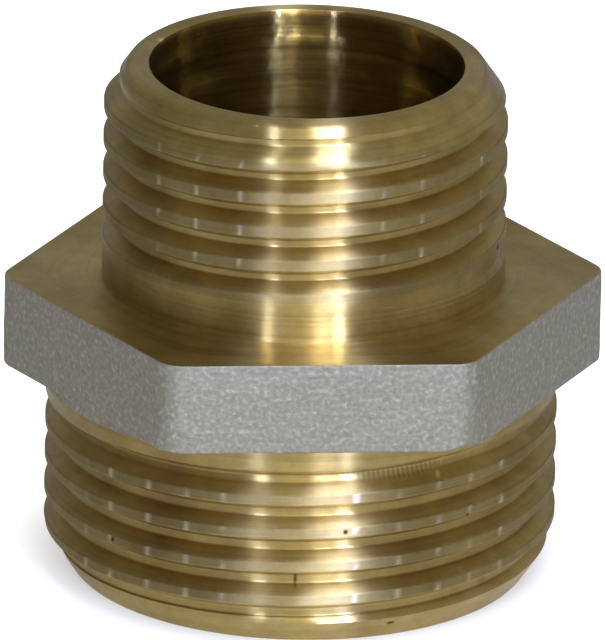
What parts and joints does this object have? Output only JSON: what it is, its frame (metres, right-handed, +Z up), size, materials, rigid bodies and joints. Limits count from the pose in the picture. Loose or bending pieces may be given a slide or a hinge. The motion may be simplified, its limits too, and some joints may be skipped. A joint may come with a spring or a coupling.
{
  "type": "pipe nipple",
  "caption": "Reducing hexagon nipple: a small and a large male pipe thread either side of a hexagon, with a stepped bore.",
  "frame": {"origin": "centre of the bore in the plane of the large end's face, which is what the nipple stands on", "axes": "+Z up the bore from the large end to the small end, +X through two opposite corners of the hexagon, -Y square to the flat that faces the camera"},
  "size_m": [0.0306, 0.027, 0.027],
  "materials": {
    "brass": "turned, with blasted grey flats"
  },
  "bodies": {
    "root": {"nipple": "brass"}
  },
  "joints": []
}
